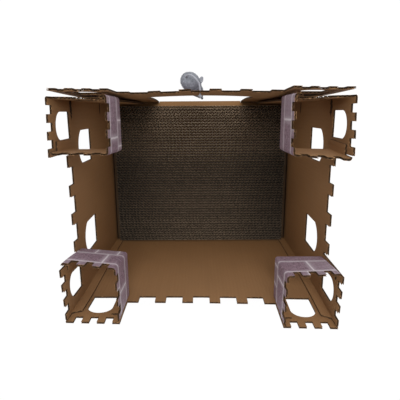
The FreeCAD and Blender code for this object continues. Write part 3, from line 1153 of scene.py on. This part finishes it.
MOUSE_PIVOT = Vector(JOINTS["mouse_tilt"]["pos_m"])
MOUSE_RUMP = Vector((0.0217, -0.1963, 0.2812))
MOUSE_SNOUT = Vector((-0.0046, -0.1662, 0.2074))
MOUSE_LENGTH = (MOUSE_SNOUT - MOUSE_RUMP).length
MOUSE_FORWARD = (MOUSE_SNOUT - MOUSE_RUMP).normalized()
MOUSE_BACK = (Vector((0, -1, 0)) + MOUSE_FORWARD * MOUSE_FORWARD.y).normalized()
MOUSE_RIGHT = MOUSE_FORWARD.cross(MOUSE_BACK)


def mouse_point(station, height, side):
    """A point along the mouse's middle line, then towards its back and its right side."""
    return MOUSE_RUMP + MOUSE_FORWARD * station + MOUSE_BACK * height + MOUSE_RIGHT * side


def wall_point(height, depth):
    """A point on the leaning front wall, from its outer face inwards."""
    rise = Vector((0, -math.sin(FRONT_LEAN), math.cos(FRONT_LEAN)))
    return FRONT_FOOT + rise * height + FRONT_NORMAL * depth


def copied(nodes):
    """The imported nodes' meshes as one mesh, with their loose triangles joined up."""
    mesh = bpy.data.meshes.new("_".join(nodes))
    shape = bmesh.new()
    for node in nodes:
        shape.from_mesh(frame["nodes"][node].data)
    bmesh.ops.remove_doubles(shape, verts=shape.verts, dist=1e-6)
    shape.to_mesh(mesh)
    shape.free()
    return mesh


def revolved(name, centre, facing, outline, bend=None, sides=28):
    """Turns an outline of (radius, height) pairs, closed at both ends, about an axis."""
    turn = facing.to_track_quat("Z", "Y").to_matrix()
    shape = bmesh.new()
    rings = []
    for radius, height in outline:
        steps = range(sides) if radius > 0 else (0,)
        places = [Vector((radius * math.cos(a), radius * math.sin(a), height))
                  for a in (2 * math.pi * step / sides for step in steps)]
        if bend:
            places = [bend(place) for place in places]
        rings.append([shape.verts.new(centre + turn @ place) for place in places])
    for near, far in zip(rings, rings[1:]):
        for step in range(sides):
            onward = (step + 1) % sides
            corners = [near[step % len(near)], near[onward % len(near)],
                       far[onward % len(far)], far[step % len(far)]]
            corners = list(dict.fromkeys(corners))
            shape.faces.new(corners)
    bmesh.ops.recalc_face_normals(shape, faces=shape.faces)
    mesh = bpy.data.meshes.new(name)
    shape.to_mesh(mesh)
    shape.free()
    mesh.shade_smooth()
    return new_object(name, mesh)


class CATHOUSE_OT_mouse(bpy.types.Operator):
    """Makes the stuffed mouse: a sewn plush skin with short pile, felt ears and bead eyes"""

    bl_idname = "cathouse.mouse"
    bl_label = "Mouse"

    def execute(self, context):
        skin = self.skin()
        self.dress(skin, ("mouse_body", "mouse_head"), grey_plush(), "grey_plush")
        pile = self.pile(skin)
        self.dress(pile, ("mouse_body", "mouse_head"), None, "grey_plush")
        surface = BVHTree.FromPolygons(
            [vertex.co for vertex in skin.data.vertices],
            [list(face.vertices) for face in skin.data.polygons],
        )
        for side_name, side in (("left", -1), ("right", 1)):
            self.ear(side_name, side)
            self.bead(f"mouse_{side_name}_eye", surface, 0.0013)
        self.bead("mouse_nose", surface, 0.0021)
        return {"FINISHED"}

    def dress(self, piece, nodes, material, slot):
        if material:
            piece.data.materials.clear()
            piece.data.materials.append(material)
        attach(piece, "mouse")
        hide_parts(*nodes)

    def skin(self):
        """The plush skin, filled by a cloth simulation that its seam holds in."""
        voxel = 0.0014
        slack = 0.0006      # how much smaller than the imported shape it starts
        most = 0.0014       # how far a point may move
        seam_depth = 0.0007
        seam_width = 0.0009
        cloth_scale = 4     # the cloth is run at four times the size, where its settings hold
        rough = new_object("mouse_shell", copied(("mouse_body", "mouse_head")))
        remesh = rough.modifiers.new("remesh", "REMESH")
        remesh.mode = "VOXEL"
        remesh.voxel_size = voxel
        smooth = rough.modifiers.new("smooth", "SMOOTH")
        smooth.iterations = 6
        skin = settled("mouse_skin", rough)
        mesh = skin.data
        normals = [vertex.normal.copy() for vertex in mesh.vertices]
        start = [vertex.co - normal * slack for vertex, normal in zip(mesh.vertices, normals)]
        across = [(place - MOUSE_RUMP).dot(MOUSE_RIGHT) for place in start]
        final = start
        seam = skin.vertex_groups.new(name="seam")
        for vertex, place, side in zip(mesh.vertices, start, across):
            vertex.co = place * cloth_scale
            seam.add([vertex.index], 1.0 if abs(side) < voxel * 0.6 else 0.0, "REPLACE")
        final = [place / cloth_scale for place in self.filled(skin)]
        skin.vertex_groups.clear()
        for vertex, place, begin, side in zip(mesh.vertices, final, start, across):
            move = place - begin
            move *= min(1.0, most / max(move.length, TINY))
            groove = math.exp(-((side / seam_width) ** 2)) * seam_depth
            vertex.co = begin + move - normals[vertex.index] * groove
        subdivision = skin.modifiers.new("smooth", "SUBSURF")
        subdivision.levels = 1
        subdivision.render_levels = 1
        mesh.shade_smooth()
        return skin

    def filled(self, skin):
        """Where the skin's points lie once stuffing has pressed it out between its seams."""
        cloth = skin.modifiers.new("cloth", "CLOTH")
        cloth.settings.use_pressure = True
        cloth.settings.uniform_pressure_force = 5.0
        cloth.settings.effector_weights.gravity = 0
        cloth.settings.vertex_group_mass = "seam"
        cloth.settings.shrink_min = -0.04
        scene = bpy.context.scene
        last_frame = 18
        for number in range(1, last_frame + 1):
            scene.frame_set(number)
        graph = bpy.context.evaluated_depsgraph_get()
        mesh = skin.evaluated_get(graph).data
        places = [vertex.co.copy() for vertex in mesh.vertices]
        skin.modifiers.remove(cloth)
        scene.frame_set(1)
        return places

    def pile(self, skin):
        """Short hairs all over the skin, pressed flat where it lies against the wall."""
        inputs = {"Density": "Float", "Length": "Float", "Width": "Float", "Seed": "Int"}
        tree = Grower("plush_pile", {**inputs, "Material": "Material"})
        given = tree.inputs
        values = {"Mesh": given["Geometry"], "Density": given["Density"], "Seed": given["Seed"]}
        roots = tree.add("GeometryNodeDistributePointsOnFaces", {}, values)
        values = {"Vertices": 3, "Radius Bottom": given["Width"], "Depth": given["Length"]}
        hair = tree.add("GeometryNodeMeshCone", {}, values)["Mesh"]
        index = tree.add("GeometryNodeInputIndex")["Index"]
        lean = [tree.random(-0.6, 0.6, index, given["Seed"] + step) for step in (1, 2)]
        leaning = tree.add("FunctionNodeEulerToRotation", {}, (tree.vector(*lean, 0.0),))
        settings = {"rotation_space": "LOCAL"}
        values = {"Rotation": roots["Rotation"], "Rotate By": leaning["Rotation"]}
        turned = tree.add("FunctionNodeRotateRotation", settings, values)["Rotation"]
        place = tree.add("GeometryNodeInputPosition")["Position"]
        y = tree.add("ShaderNodeSeparateXYZ", {}, (place,))["Y"]
        pressed = y.ramp(MOUSE_HOLE.y - 0.008, MOUSE_HOLE.y - 0.003, 1.0, 0.25)
        values = {
            "Points": roots["Points"],
            "Instance": hair,
            "Rotation": turned,
            "Scale": tree.random(0.5, 1.2, index, given["Seed"] + 3) * pressed,
        }
        tree.end(tree.add("GeometryNodeInstanceOnPoints", {}, values)["Instances"])
        values = {
            "Density": 1.5e6,
            "Length": 0.00135,
            "Width": 0.00011,
            "Seed": 4,
            "Material": grey_plush(),
        }
        return tree.grow("mouse_pile", values, skin.data.copy())

    def ear(self, side_name, side):
        """A cupped felt disc."""
        radius = 0.0065
        half = 0.0007
        turn = math.radians(35)
        centre = mouse_point(MOUSE_LENGTH * 0.57, 0.0165, side * 0.0078)
        facing = MOUSE_FORWARD * math.cos(turn) + MOUSE_RIGHT * (side * math.sin(turn))

        def cup(place):
            share = place.xy.length / radius
            return place - Vector((0, 0, 0.0014 * share**2))

        face = [(radius * share, half) for share in (0, 0.2, 0.4, 0.6, 0.75, 0.87)]
        rim = [
            (radius - half + half * math.cos(angle), half * math.sin(angle))
            for angle in (0.9, 0.45, 0.0, -0.45, -0.9)
        ]
        outline = face + rim + [(across, -height) for across, height in reversed(face)]
        ear = revolved(f"mouse_{side_name}_felt_ear", centre, facing, outline, cup)
        self.dress(ear, (f"mouse_{side_name}_ear",), grey_felt(), "ear_felt")

    def bead(self, node, surface, radius):
        """A glossy bead set on the skin."""
        low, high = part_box(node)
        place, normal = surface.find_nearest((Vector(low) + Vector(high)) / 2)[:2]
        steps = [math.pi * step / 10 for step in range(11)]
        outline = [(radius * math.sin(a), radius * 0.9 * math.cos(a)) for a in steps]
        outline[0] = (0, outline[0][1])
        outline[-1] = (0, outline[-1][1])
        bead = revolved(node + "_bead", place + normal * (radius * 0.25), normal, outline)
        self.dress(bead, (node,), dark_bead(), "dark_bead")


class CATHOUSE_OT_tail(bpy.types.Operator):
    """Makes the mouse's tail, a soft cord through the front wall, and its knot"""

    bl_idname = "cathouse.tail"
    bl_label = "Tail"

    def execute(self, context):
        hole = wall_point(HOLE_HEIGHT, 0)
        hanging = ((0.0198, -0.0274, -0.007), (0.0124, -0.0254, 0.0016), (0.0044, -0.0186, 0.0044))
        route = [MOUSE_PIVOT] + [hole + Vector(point) for point in hanging]
        route += [wall_point(HOLE_HEIGHT, depth) for depth in (-0.0105, 0.0033)]
        cord = self.tube("tail_felt_cord", [(route, False)], 0.00125)
        cord.data.materials.append(grey_felt())
        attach(cord, "tail")
        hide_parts("tail_cord")
        knot = self.knot()
        tuple(route[-1])
        return {"FINISHED"}

    def tube(self, name, routes, radius):
        curve = bpy.data.curves.new(name, "CURVE")
        curve.dimensions = "3D"
        curve.bevel_depth = radius
        curve.bevel_resolution = 3
        curve.resolution_u = 12
        curve.use_fill_caps = True
        for route, closed in routes:
            spline = curve.splines.new("NURBS")
            spline.points.add(len(route) - 1)
            for point, place in zip(spline.points, route):
                point.co = (*place, 1.0)
            spline.order_u = 3
            spline.use_endpoint_u = not closed
            spline.use_cyclic_u = closed
        return new_object(name, curve)

    def knot(self):
        """A trefoil of cord pulled tight against the inside of the wall, with a short end."""
        size = 0.00078
        steps = 24
        middle = wall_point(HOLE_HEIGHT, BOARD + 0.0021)
        across = Vector((1, 0, 0))
        rise = FRONT_NORMAL.cross(across)
        loop = []
        for step in range(steps):
            a = 2 * math.pi * step / steps
            side = (math.sin(a) + 2 * math.sin(2 * a)) * size
            height = (math.cos(a) - 2 * math.cos(2 * a)) * size
            depth = -math.sin(3 * a) * size
            loop.append(middle + across * side + rise * height + FRONT_NORMAL * depth)
        stub = [middle, middle + FRONT_NORMAL * 0.0016, middle + FRONT_NORMAL * 0.0024 - rise * 0.0012]
        knot = settled("tail_felt_knot", self.tube("knot_line", [(loop, True), (stub, False)], 0.00105))
        knot.data.materials.clear()
        knot.data.materials.append(grey_felt())
        knot.data.shade_smooth()
        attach(knot, "tail")
        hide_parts("tail_knot")
        return knot


class CATHOUSE_OT_stage(bpy.types.Operator):
    """Makes the camera, the light and the floor"""

    bl_idname = "cathouse.stage"
    bl_label = "Stage"

    def execute(self, context):
        self.camera(context)
        self.lights(context)
        self.ground()
        return {"FINISHED"}

    def camera(self, context):
        """The photograph's camera: X of the frame points to the left of its picture."""
        data = bpy.data.cameras.new("photo_camera")
        data.sensor_width = 36.0
        data.lens = data.sensor_width * FOCAL_LENGTH_PX / PHOTO_WIDTH_PX
        data.clip_start = 0.01
        camera = new_object("photo_camera", data)
        right = Vector((-1, 0, 0))
        up = Vector((0, -math.cos(CAMERA_TILT), -math.sin(CAMERA_TILT)))
        turned_right = right * math.cos(CAMERA_ROLL) + up * math.sin(CAMERA_ROLL)
        turned_up = up * math.cos(CAMERA_ROLL) - right * math.sin(CAMERA_ROLL)
        backward = turned_right.cross(turned_up)
        axes = Matrix((turned_right, turned_up, backward)).transposed()
        camera.matrix_world = Matrix.Translation(CAMERA_PLACE) @ axes.to_4x4()
        context.scene.camera = camera

    def lights(self, context):
        """Even light all round, which shows as white, and one soft lamp above the front."""
        stage = context.scene.cat_house_stage
        world = bpy.data.worlds.new("studio")
        world.use_nodes = True
        tree = Tree(world.node_tree)
        values = {"Color": (1, 1, 1), "Strength": stage.sky}
        light = tree.add("ShaderNodeBackground", {}, values)["Background"]
        values["Strength"] = 1.0
        shown = tree.add("ShaderNodeBackground", {}, values)["Background"]
        ray = tree.add("ShaderNodeLightPath")
        seen = ray["Is Camera Ray"].high(ray["Is Glossy Ray"])
        both = tree.add("ShaderNodeMixShader", {}, (seen, light, shown))["Shader"]
        tree.add("ShaderNodeOutputWorld", {}, {"Surface": both})
        context.scene.world = world
        data = bpy.data.lights.new("soft_lamp", "AREA")
        data.shape = "DISK"
        data.size = 0.6
        data.energy = stage.lamp
        lamp = new_object("soft_lamp", data)
        lamp.location = (-0.06, -0.55, 1.85)
        aim = Vector((0, 0, 0.2)) - Vector(lamp.location)
        lamp.rotation_euler = aim.to_track_quat("-Z", "Y").to_euler()
        context.scene.view_settings.view_transform = "Standard"

    def ground(self):
        """A white floor that the camera sees glow, except under the house, and that takes shadows."""
        reach = 6.0
        level = -0.0002
        places = [(-reach, -reach, level), (reach, -reach, level)]
        places += [(reach, reach, level), (-reach, reach, level)]
        mesh = bpy.data.meshes.new("studio_floor")
        mesh.from_pydata(places, [], [(0, 1, 2, 3)])
        shader = Shader("white_floor")
        shader.finish((0.93, 0.93, 0.93), 0.9)
        values = {"Color": (1, 1, 1), "Strength": 1.04}
        glow = shader.add("ShaderNodeEmission", {}, values)["Emission"]
        ray = shader.add("ShaderNodeLightPath")["Is Camera Ray"]
        place = shader.add("ShaderNodeTexCoord")["Object"]
        parts = shader.add("ShaderNodeSeparateXYZ", {}, (place,))
        covered = (parts["X"].abs() < 0.207) * (parts["Y"].abs() < 0.1668)
        values = (ray * 0.85 * (1 - covered), shader.surface["BSDF"], glow)
        shader.output["Surface"] = shader.add("ShaderNodeMixShader", {}, values)["Shader"]
        mesh.materials.append(shader.material)
        new_object("studio_floor", mesh)


class CATHOUSE_PT_panel(bpy.types.Panel):
    """Lists the steps that build the cat house"""

    bl_label = "Cat house"
    bl_idname = "CATHOUSE_PT_panel"
    bl_space_type = "VIEW_3D"
    bl_region_type = "UI"
    bl_category = "Cat house"

    def draw(self, context):
        for step in STEPS:
            self.layout.operator(step.bl_idname)


SETTINGS = {
    "cat_house_board": BoardSettings,
    "cat_house_pad": PadSettings,
    "cat_house_mouse": MouseSettings,
    "cat_house_stage": StageSettings,
}
STEPS = [
    CATHOUSE_OT_stage,
    CATHOUSE_OT_walls,
    CATHOUSE_OT_tower_liners,
    CATHOUSE_OT_floor,
    CATHOUSE_OT_scratching_pad,
    CATHOUSE_OT_mouse,
    CATHOUSE_OT_tail,
]


def register():
    for group in SETTINGS.values():
        bpy.utils.register_class(group)
    for step in STEPS:
        bpy.utils.register_class(step)
    bpy.utils.register_class(CATHOUSE_PT_panel)
    for name, group in SETTINGS.items():
        setattr(bpy.types.Scene, name, bpy.props.PointerProperty(type=group))


def unregister():
    for name in SETTINGS:
        delattr(bpy.types.Scene, name)
    bpy.utils.unregister_class(CATHOUSE_PT_panel)
    for step in reversed(STEPS):
        bpy.utils.unregister_class(step)
    for group in SETTINGS.values():
        bpy.utils.unregister_class(group)


def main():
    register()
    for step in STEPS:
        group, name = step.bl_idname.split(".")
        getattr(getattr(bpy.ops, group), name)()


if __name__ == "__main__":
    main()
